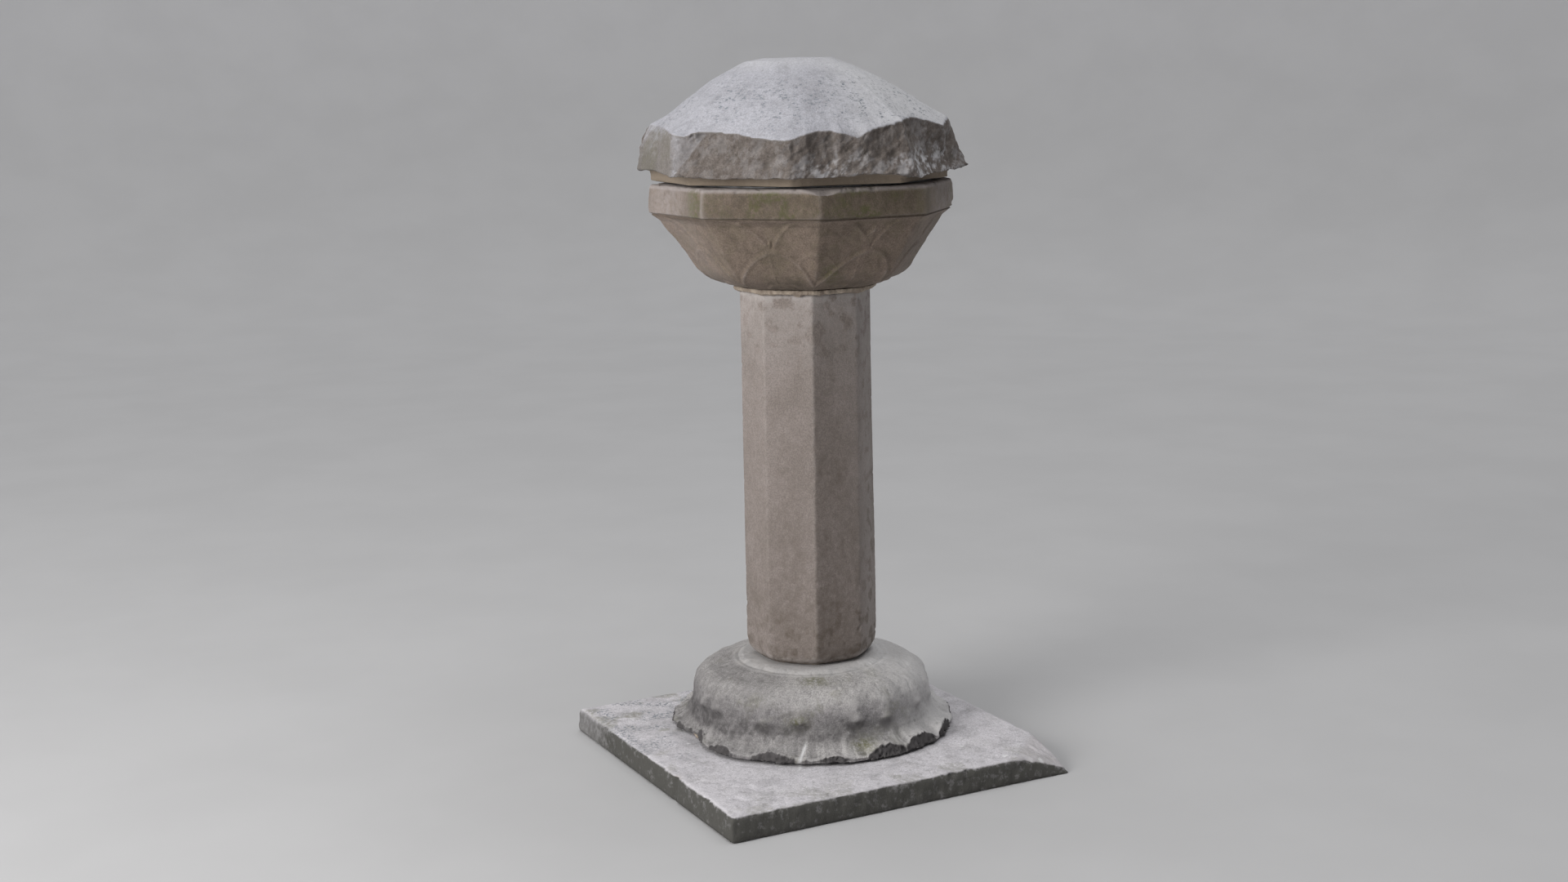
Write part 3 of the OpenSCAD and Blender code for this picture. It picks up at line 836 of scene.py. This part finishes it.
def make_bowl():
    count, cell = 768, 2.3
    angle = columns(count, 8, 0.0)
    bumps = Noise(59)
    band_z = RIM_Z - 51.0
    w = BOWL_R
    keys = [(BORE_R, BOWL_Z, 0, 40)]
    keys += keys_at(0, BOWL_Z, 1, (100, 0, 6), (116, 0), (124, 1.5), (134.5, 5), (146, 9.5), (156, 14),
                    (164.5, 19), (171.5, 24.5), (178, 31))
    keys += keys_at(w, band_z, 1, (-19, -14), (-8, -5), (-4.5, -2.6), (-6.5, -1.3), (-4.5, -0.2),
                    (-1.2, 1.5), (-0.3, 12), (-1.2, 28))
    keys += keys_at(w, RIM_Z, 1, (-2.6, -6), (-4.5, -1.8), (-8, 0), (-25, 0))
    keys += keys_at(BASIN_R, RIM_Z, 0, (7, 0), (1.5, -1.5), (0, -5, 8))
    keys.append((BASIN_R, LINING_FLOOR + BEND_R, 0, 8))
    keys += [(*key, 8) for key in arc(BASIN_R - BEND_R, LINING_FLOOR + BEND_R, BEND_R, -10, -90, 0, 6)]
    keys += [(BORE_R, LINING_FLOOR, 0, 35), keys[0]]
    radius, height, share = profile(keys, cell, count)
    plan = polygon(angle, 8, 0.0, 170.0)
    radius = radius * (1 + share * (plan - 1))
    full = rise(height, BOWL_Z + 20, band_z) * rise(radius, w - 30, w - 8)
    radius = radius + 6.0 * full * near(angle, -112, 14)
    points = place(angle, radius, height)
    up = height - BOWL_Z
    outside = rise(share, 0.9, 1.0) * rise(np.hypot(points[..., 0], points[..., 1]), 112, 122)
    flank = outside * fall(height, band_z - 10, band_z - 5)
    apothem = radius / plan

    # Upper petals stand on the corners, lower petals on the faces, with small ones inside those
    from_face = turned_from(angle, 0.0, EIGHTH)
    side = apothem * np.tan(np.radians(22.5))
    across_face = apothem * np.tan(np.radians(from_face))
    across_corner = side - np.abs(across_face)
    face = np.round(angle / EIGHTH)
    shift = np.where(face == 0, 16.0, np.where(face == -1, -7.0, 6.0 * np.sin(face * 2.1)))
    half = 88 - shift * np.sign(across_face - shift)
    upper = petal(across_corner * 88 / half, up - 62, 88, 80)
    leaning = shift * 1.2 * rise(up, 8, 70)
    lower = petal(across_face - leaning, up - 6, 66, 70, 1.75)
    small = petal(across_face, up + 4, 30, 18)
    inner = petal(across_corner, up - 26, 42, 44)
    carving = petal_relief(upper, 1.7)
    carving = carving + rise(-lower, -2, 3) * 0.8 * bell(inner, 2.6)
    carving = carving * rise(-lower, -2, 2) + rise(lower, -2, 2) * 1.7
    carving = carving + petal_relief(lower, 1.6) + 0.7 * petal_relief(small, 1.6)
    carving = carving + 0.8 * bell(across_face, 2.5) * rise(lower, 0, 12)
    fade = rise(up, 1, 8)
    crisp = 0.75 + 0.25 * rise(bumps(points + 60, 70, 2), -0.4, 0.2)
    points = pushed(points, flank * fade * (carving * crisp - 1.4), True)

    wear = 0.55 * bumps(points, 60, 3) + 0.4 * bumps(points + 20, 13, 3)
    band = outside * rise(height, band_z - 2, band_z + 2)
    rim_edge = rise(height, RIM_Z - 12, RIM_Z - 2) * outside
    front_chip = near(angle, -21, 4.0) * rise(height, RIM_Z - 9, RIM_Z - 1)
    chips = rise(bumps(points + 140, 20, 3), 0.2, 0.8)
    outer_edge = rise(apothem, w - 17, w - 5) * rise(height, RIM_Z - 12, RIM_Z - 2)
    points[..., 2] -= 7.0 * near(angle, -20.5, 4.5) * outer_edge
    low_chip = near(angle, 67, 3.0) * bell(height - band_z - 6, 6)
    cut = 0.6 - wear + 2.2 * chips * rim_edge + 2.0 * front_chip + 3 * low_chip
    points = pushed(points, -outside * np.maximum(cut, 0) * rise(up, 0, 5), True)

    patch = rise(bumps(points + 800, 42, 4, 0.6), -0.15, 0.35)
    green = nears(angle, (1.3, -74.5, 4.5), (0.9, -38, 12), (0.6, -2, 12), (0.6, 62, 14), (0.5, 150, 30))
    green = green + 0.4
    low_green = near(angle, -14, 6) * bell(up - 32, 16)
    left = near(angle, -98, 20)
    ridge = near(angle, -68.3, 1.0)
    strip = near(angle, -74.5, 3.6)
    # Painted shade on the face at -45 and along the band under the lid's eave, over the band's own darker
    # tone; painted light on the right
    painted_shade_face = near(angle, -45, 22)
    painted_light_right = window(turned_from(angle, 70), -55, -20, 20, 60)
    masks = {
        "proud": 0.6 * proud(points, True, 22),
        "moss": np.clip(band * (0.25 + 0.75 * patch) * green * (1 - left) + 1.2 * strip * band
                        + 0.6 * low_green * flank + 0.15 * flank * patch, 0, 1),
        "stain_and_shade": np.clip(0.6 * rise(40 - up, 0, 40) * outside * (0.4 + 0.6 * patch)
                         # Painted shade: a dark line in the groove under the band
                         + 0.75 * bell(height - band_z + 1, 1.8) * outside
                         + 0.22 * painted_shade_face * flank
                         + (0.36 + 0.24 * painted_shade_face) * band * (1 - left) * (1 - 0.5 * painted_light_right)
                         * rise(RIM_Z - 5 - height, 0, 8), 0, 1),
        "pale": np.clip(0.7 * left * band + 0.45 * ridge * band + painted_light_right * (0.3 * outside + 0.45 * band)
                        + 0.95 * rise(height, RIM_Z - 9, RIM_Z - 3) * outside
                        + 0.25 * left * flank + front_chip * outside, 0, 1),
    }
    make_piece("bowl_stone", points, "pedestal", "bowl_stone", "bowl", masks)


# ---- Lid ----
# The broken edge of the roof: (angle, how far it is bitten back, or hangs down when negative)
ROOF_EDGE = [(-170, 9), (-156, 14), (-143, 3), (-128, 19), (-112, 18), (-99.5, 13), (-88, 7),
             (-79, 0), (-73.5, -5), (-68.5, 6), (-60, 3.5), (-52, 0), (-44, -7), (-34, -11),
             (-29.5, -4), (-24, 7), (-19, 6.5), (-14, -2), (-8, -10), (-4, 2), (4, 15), (14, 30),
             (22, 36), (29, 31), (36, 19), (40.5, 7), (49, 20), (57, 31), (67, 30), (79, 18),
             (88, 6), (98, 11), (108, 15), (119, 0), (127, -6), (134, 14), (143, 22), (153, 8),
             (162, -6), (176, 10)]
SMOOTH_FACE = -100.5


def make_lid():
    count, cell = 768, 2.5
    angle = columns(count, 8, LID_TURN)
    bumps = Noise(71)
    eave_r, eave_top_r = 270.0, 266.0
    spigot_r = 178.0
    step_r = 236.0 + 17.0 * near(angle, -122, 26)
    slope = math.tan(math.radians(29.6))
    leftward = np.cos(np.radians(angle + 117.5))
    top_r = 73 + 16 * leftward
    roof_r = 50.0
    lip_z = SEAT_Z + 14 + nears(angle, (8, -106, 20), (4, -3, 14), (-6, 17, 5), (6, 57, 10))
    ring = place(angle, eave_r, 0.0)
    at, depth = np.array(ROOF_EDGE).T
    jagged = angle + 0.7 * bumps(ring + 700, 9, 2)
    bite = np.interp(jagged, at, depth, period=360)
    hang = np.maximum(-bite, 0)
    bite = np.maximum(bite, 0)
    smooth_face = fall(np.abs(turned_from(angle, SMOOTH_FACE)), 20, 22.5)
    upright = fall(np.abs(turned_from(angle, SMOOTH_FACE - 4)), 22, 34)
    rough_face = 1 - smooth_face
    edge_r = eave_top_r - bite + 1.6 * bumps(ring, 22, 3, 0.6) * (0.2 + 0.8 * rough_face)
    edge_z = TOP_Z - (edge_r - roof_r) * slope - hang
    deep = np.clip(bite / 36, 0, 1)
    lip_z = lip_z + 1.3 * bumps(ring + 90, 34, 3)
    corner = np.abs(turned_from(angle, LID_TURN + 22.5, EIGHTH))
    eave_edge = np.minimum(eave_r - 0.8 + 1.2 * bumps(ring + 40, 40, 2), eave_r)

    keys = [(2.0, SPIGOT_Z, 0, 30)]
    keys += keys_at(spigot_r, SPIGOT_Z, 0, (-3, 0, 3), (0, 3, 5)) + [(spigot_r, SEAT_Z, 0, 8)]
    keys += keys_at(step_r, SEAT_Z, 1, (-2, 0), (0, 1.2), (0, 7))
    keys += keys_at(step_r, lip_z, 1, (1, -2.0), (4, 0))
    keys += keys_at(eave_edge, lip_z, 1, (-8, 1.5), (-1.2, 0), (0, 1.8))
    for up in (0.15, 0.3, 0.5, 0.7, 0.88):
        hollow = 4 * up * (1 - up) * (4.0 * rough_face + 4.0 * deep) * rise(corner, 0, 9)
        lean = up ** (1.0 - 0.3 * deep * (1 - upright) + 1.1 * upright)
        wall = eave_edge + (edge_r - eave_edge) * lean - hollow
        keys.append((wall, lip_z + 1.8 + (edge_z - lip_z - 3.8) * up, 1))
    keys += keys_at(edge_r, edge_z, 1, (-0.8, -2.0), (-2.2, 0.4))
    roof_z = edge_z + hang
    for inward, facet in ((0.04, 0.82), (0.09, 0.62), (0.16, 0.44), (0.35, 0.22), (0.6, 0.1),
                          (0.85, 0.05), (1.0, 0.03)):
        r = edge_r + (top_r + 7 - edge_r) * inward
        bulge = 8 * 4 * inward * (1 - inward)
        droop = hang * max(1 - inward / 0.2, 0) ** 2
        keys.append((r, roof_z + (TOP_Z - 5.5 - roof_z) * inward + bulge - droop, facet))
    keys += [(top_r - 6, TOP_Z - 2.0 - 1.5 * leftward, 0.05), (top_r - 20, TOP_Z - 0.6, 0, 5),
             (2.0, TOP_Z, 0)]
    radius, height, share = profile(keys, cell, count, closed=False)
    plan = polygon(angle, 8, LID_TURN, 220.0)
    swell = 1 + 0.045 * (1 - share) * rise(height, TOP_Z - 140, TOP_Z - 110)
    radius = radius * (swell * (1 - share) + plan * share)
    full = nears(angle, (6, -121, 17), (0.5, 57, 9))
    radius = radius + full * rise(radius, 238, 262) * rise(height - lip_z, -3, 1)
    points = place(angle, radius, height)

    facade = rise(height - lip_z, -0.8, 0.8) * fall(height - edge_z, -6, -0.5)
    facade = facade * rise(radius, 225, 235)
    fractured = facade * rough_face
    scoops = 3.0 * bumps(points, 58, 2)
    grain = math.radians(FRACTURE_LEAN)
    x, y, z = np.moveaxis(points, -1, 0)
    over = x * math.cos(grain) - z * math.sin(grain)
    along = x * math.sin(grain) + z * math.cos(grain)
    slanted = np.stack([1.5 * over, y, 0.6 * along], -1)
    creases = -3.6 * np.abs(bumps(slanted + 60, 40, 4, 0.6))
    chips = 1.9 * bumps(points + 200, 17, 4, 0.7)
    up_wall = (height - lip_z) / (edge_z - lip_z)
    past_corner = turned_from(angle, -78)
    facet = rise(past_corner, -2, -0.5) * fall(past_corner - 12.5 * up_wall, -0.6, 0.6) * facade
    scoops = scoops - 3.0 * facet
    points = pushed(points, fractured * np.minimum(scoops + creases + chips, 1.5), False)
    roof = rise(height - edge_z, -1, 2) * rise(radius, 0, 20)
    weather = 1.1 * bumps(points + 30, 85, 3) + 0.35 * bumps(points + 5, 14, 3)
    points = pushed(points, roof * (weather - 0.8), False)
    step = rise(height, SEAT_Z - 1, SEAT_Z + 2) * fall(height - lip_z, -1.5, 0)
    under = step * rise(radius, 225, 232)
    worn = 0.7 * bumps(points + 300, 26, 4, 0.7) + 0.5 * smooth_face * facade
    points = pushed(points, (under + facade * smooth_face) * (worn - 0.9), False)
    points[..., 2] = np.minimum(points[..., 2], TOP_Z)
    limit = eave_r / math.cos(math.radians(22.5)) + full
    now = np.hypot(points[..., 0], points[..., 1])
    points[..., :2] *= np.minimum(1, limit / np.maximum(now, 1))[..., None]

    relief = proud(points, False, 22)
    streak = rise(bumps(points * [1, 1, 0.3] + 600, 40, 3), -0.1, 0.5)
    speckle = rise(bumps(points * [1, 1, 2] + 900, 13, 3, 0.65), -0.05, 0.4)
    belt = bell(height - TOP_Z + 75, 40) * (0.4 + 0.6 * rise(bumps(points + 30, 90), -0.3, 0.3))
    blotch = near(angle, -24, 10) * bell(radius - 165, 22)
    arris = near(angle, -77, 1.3 + 2.0 * rise(height - lip_z, 30, 75)) * facade
    lime = rise(bumps(0.5 * (slanted + points) + 1500, 22, 6, 0.75), -0.2, 0.7) * fractured
    low_right = near(angle, 27, 17) * rise(lip_z + 55 - height, 0, 30)
    low_front = near(angle, -17, 12) * rise(lip_z + 50 - height, 0, 30)
    lime = lime * (0.15 + 0.15 * near(angle, 50, 30) + 1.2 * low_right + 0.65 * low_front)
    crown = rise(height, TOP_Z - 30, TOP_Z - 4)
    # Painted light: the roof whitens on its side towards +X
    painted_light_side = window(turned_from(angle, 55), -80, -30, 40, 140)
    painted_light_side = painted_light_side * rise(radius, 30, 130)
    masks = {
        "proud": np.where(facade + under > 0.05, np.minimum(relief, 0.35), relief),
        "moss": np.clip(0.22 * facade * smooth_face * streak + (0.25 + 0.45 * streak) * under, 0, 1),
        "stain_and_shade": np.clip(0.18 * roof * speckle * belt + 0.22 * roof * blotch, 0, 1),
        "specks": np.clip(1.5 * roof * speckle * belt, 0, 1),
        "tan": 2.2 * under,
        # The facet beside the corner at -78 is paled as painted light
        "pale": np.clip(0.3 * roof + 0.2 * arris + 0.6 * lime + 0.22 * facet, 0, 1),
        "white": np.clip(0.36 * lime + roof * (0.62 * painted_light_side + 0.25 * crown), 0, 1),
        "fresh": fractured * (1 - 0.6 * arris) * (1 - 0.5 * facet),
    }
    make_piece("lid_stone", points, "lid", "lid_stone", "lid", masks, loop=False)


# ---- Lead, brass and leather ----
def turned_piece(name, keys, cell, count, body, slot, node, rough=0.0, size=20):
    """A piece turned from a closed profile, its surface uneven by up to rough millimetres"""
    angle = columns(count)
    radius, height, _ = profile(keys + keys[:1], cell, count)
    points = place(angle, radius, height)
    if rough:
        points = pushed(points, -rough * np.abs(Noise(5)(points, size, 3)), True)
    make_piece(name, points, body, slot, node)


def make_lining():
    count = 384
    angle = columns(count)
    bumps = Noise(83)
    t, floor, top, r = LINING_T, LINING_FLOOR, LINING_TOP, BASIN_R
    keys = [(NECK_R, floor + t, 0, 5)]
    keys += [(*key, 5) for key in arc(r - BEND_R, floor + BEND_R, BEND_R - t, -90, 0, 0, 12)]
    keys += keys_at(r, top, 0, (-t, -1.2, 1), (1.0 - t, 0, 1), (-1.0, 0, 1), (-0.2, -1.0, 8))
    keys += [(*key, 8) for key in arc(r - BEND_R, floor + BEND_R, BEND_R - 0.2, 0, -90, 0, 8)]
    keys += [(NECK_R, floor + 0.2, 0, 1), keys[0]]
    radius, height, _ = profile(keys, 5, count)
    points = place(angle, radius, height)
    facing_in = np.zeros(radius.shape)
    seen = int(np.argmax(height.mean(1) >= top - 1.3))
    facing_in[:seen] = 1
    seam = bell(turned_from(angle, 65, 180.0), 1.6) * rise(radius, 60, 80)
    dressed = 0.35 * bumps(points, 34, 3) + 1.3 * seam
    away = facing_in * rise(radius, 36, 44) * dressed
    points = pushed(points, np.clip(away, -0.6, 1.6), True)
    make_piece("lead_lining", points, "pedestal", "sheet_lead", "basin_lining")


def make_drain():
    bottom, seat = low("drain_fitting"), LINING_FLOOR + LINING_T
    keys = [(10, bottom, 0), (12.9, bottom, 0)]
    keys += keys_at(0, LINING_FLOOR, 0, (12.9, -13), (NECK_R, -13))
    keys += keys_at(0, seat, 0, (NECK_R, 0), (33.4, 0), (34, 0.8))
    keys += keys_at(0, high("drain_fitting"), 0, (34, -1.2), (33.2, -0.5), (32, -0.2), (30.5, -0.2),
                    (30, -0.7), (29, -0.7), (28.5, 0), (15.2, 0), (14.5, -0.7), (12.05, -13.5),
                    (11.4, -14), (10, -14))
    turned_piece("drain_flange", keys, 2.5, 128, "pedestal", "worn_brass", "drain_fitting")


def make_plug():
    base, head, bottom = low("plug_washer"), high("plug_washer"), low("drain_plug")
    head_r, tail_r = high("drain_plug", 0), 14.0
    head_top = head + 4.0
    eye_z = head_top + 2.8
    keys = keys_at(0, bottom, 0, (1.0, 0), (10.6, 0), (11.5, 0.8))
    keys += [(tail_r, base, 0), (tail_r, head, 0)]
    keys += keys_at(head_r, head, 0, (-0.8, 0), (0, 0.8), (0, 2.6), (-0.9, 3.4), (-2.2, 3.8), (-3, 3.8),
                    (-3.5, 3.3), (-4.5, 3.3))
    keys += [(head_r - 5, head_top - 0.1, 0)]
    keys += keys_at(0, head_top, 0, (7.5, 0), (6.2, 0.5), (1.0, 0.5))
    turned_piece("plug_body", keys, 1.5, 96, "drain_plug", "worn_brass", "drain_plug")
    keys = [(tail_r, base + 0.02, 0)] + keys_at(head_r, base, 0, (-1.4, 0.02), (-1.0, 0.5))
    keys += keys_at(head_r, head, 0, (-1.0, -0.5), (-1.4, -0.02)) + [(tail_r, head - 0.02, 0)]
    turned_piece("leather_washer", keys, 1.0, 96, "drain_plug", "leather", "plug_washer",
                 rough=0.25, size=6)
    hoop("plug_eye", (0, 0, eye_z), (1, 0, 0), 4.4, 1.6, 3.0, "drain_plug")
    middle = (high("plug_ring", 1) + low("plug_ring", 1)) / 2
    hoop("pull_ring", (0, middle, eye_z), (0, 0, 1), 15.0, 1.95, 1.95, "plug_ring", "plug_ring")


def hoop(name, centre, axis, r, wire_out, wire_along, body, node=None):
    """A slightly uneven wire hoop; wire_out and wire_along are half the wire's widths"""
    count, around_wire = 96, 20
    turn = np.radians(columns(count))
    bend = np.radians(np.arange(around_wire) * 360.0 / around_wire)[:, None]
    swell = 1 - 0.04 * (1 + np.cos(3 * turn)) / 2
    x = (r + wire_out * swell * np.cos(bend)) * np.cos(turn)
    y = (r + wire_out * swell * np.cos(bend)) * np.sin(turn)
    z = -wire_along * swell * np.sin(bend) + 0 * x
    local = np.stack([x, -y, z], -1)
    rotation = np.array(Vector((0, 0, 1)).rotation_difference(Vector(axis)).to_matrix())
    points = local @ rotation.T + np.array(centre)
    make_piece(name, points, body, "worn_brass", node)


def make_seat_ring():
    z0, z1 = low("seat_ring"), high("seat_ring")
    inner, outer = 190.0, high("seat_ring", 0)
    keys = [(inner + 0.8, z0, 0)] + keys_at(outer, z0, 0, (-1.2, 0), (-0.2, 1.2))
    keys += keys_at(outer, z1, 0, (-0.2, -1.2), (-1.2, 0)) + keys_at(inner, z1, 0, (0.8, 0), (0.2, -1))
    keys += [(inner + 0.2, z0 + 1, 0)]
    turned_piece("lead_seat_ring", keys, 4, 256, "seat_ring", "sheet_lead", "seat_ring",
                 rough=0.15, size=12)


def paint_hidden_parts():
    """Gives the CAD nodes that keep their own shape their materials"""
    slots = {"base_dowels": "wrought_iron", "foot_dowels": "wrought_iron", "neck_dowels": "wrought_iron",
             "base_dowel_lead": "cast_lead", "foot_dowel_lead": "cast_lead",
             "neck_dowel_lead": "cast_lead", "solder_joint": "cast_lead", "drain_pipe": "sheet_lead"}
    for node, slot in slots.items():
        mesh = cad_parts[node].data
        mesh.materials.clear()
        mesh.materials.append(MATERIALS[slot])


# ---- Studio ----
def make_floor():
    """A pale floor that curves up all round into a backdrop"""
    count = 96
    angle = columns(count)
    flat, bend = 6.0, 4.0
    keys = [(0.01, 0), (0.5, 0), (2.0, 0), (flat, 0)]
    for turn in np.radians(np.arange(6, 91, 6)):
        keys.append((flat + bend * math.sin(turn), bend - bend * math.cos(turn)))
    points = np.array([place(angle, r, z) for r, z in keys])
    faces = [face[::-1] for face in grid_faces(len(points), count, False)[:(len(points) - 1) * count]]
    s = Shader("studio_floor")
    grain = s.ramp(s.noise(400, 3), 0.3, 0.7, 0.98, 1.02)
    # Painted light: the backdrop pales up the wall, standing in for light falling on it
    s.start(s.ramp(s.z_of(s.coords), 0.2, 3.2), (0.47, 0.47, 0.475), (0.80, 0.80, 0.82))
    s.shade(grain)
    add_mesh("floor", points.reshape(-1, 3), faces, s.finish(0.9))


def area_light(name, place_at, target, size, power, colour):
    light = bpy.data.lights.new(name, "AREA")
    light.shape = "DISK"
    light.size = size
    light.energy = power
    light.color = colour
    lamp = add_object(name, light)
    lamp.location = place_at
    aim = Vector(target) - Vector(place_at)
    lamp.rotation_euler = aim.to_track_quat("-Z", "Y").to_euler()


def overhead_light(strength, angle, tilt):
    """A broad even light from above, tipped towards +X"""
    light = bpy.data.lights.new("overhead", "SUN")
    light.energy = strength
    light.angle = math.radians(angle)
    light.color = (0.98, 0.985, 1.0)
    add_object("overhead", light).rotation_euler = (0, math.radians(tilt), 0)


def make_lights():
    """A soft sky, brighter to the left"""
    area_light("key", place_at=(-4.36, -1.02, 2.1), target=(0, 0, 0.7), size=2.6, power=180,
               colour=(1.0, 0.985, 0.965))
    overhead_light(strength=1.78, angle=65, tilt=6)
    world = bpy.data.worlds.new("studio")
    world.use_nodes = True
    background = world.node_tree.nodes["Background"]
    background.inputs[0].default_value = (0.93, 0.91, 0.88, 1)
    background.inputs[1].default_value = 0.13
    bpy.context.scene.world = world


def make_camera():
    """A long-lens view from the front left, slightly above and tilted by a degree"""
    data = bpy.data.cameras.new("camera")
    data.sensor_width = 36.0
    data.lens = 46.0
    camera = add_object("camera", data)
    azimuth, elevation, tilt = math.radians(-27.55), math.radians(10.57), math.radians(-1.01)
    back = Vector((math.sin(azimuth) * math.cos(elevation),
                   -math.cos(azimuth) * math.cos(elevation), math.sin(elevation)))
    right = Vector((math.cos(azimuth), math.sin(azimuth), 0))
    up = back.cross(right)
    aim_z, axis_to_right, distance = 0.57, 0.0424, 3.6297
    turned_right = right * math.cos(tilt) + up * math.sin(tilt)
    turned_up = up * math.cos(tilt) - right * math.sin(tilt)
    camera.matrix_world = Matrix((turned_right, turned_up, back)).transposed().to_4x4()
    camera.location = Vector((0, 0, aim_z)) - right * axis_to_right + back * distance
    bpy.context.scene.camera = camera


make_slab()
make_bed("base_bed", "base_mortar", high("base_mortar", 0) - 4, 0, 41, 2.5)
make_base()
make_bed("foot_bed", "foot_mortar", STEM_R - 21, 1, 43, 1.2)
make_stem()
make_neck_mortar()
make_bowl()
make_lining()
make_drain()
make_seat_ring()
make_lid()
make_plug()
paint_hidden_parts()
make_floor()
make_lights()
make_camera()
bpy.context.scene.view_settings.view_transform = "Standard"
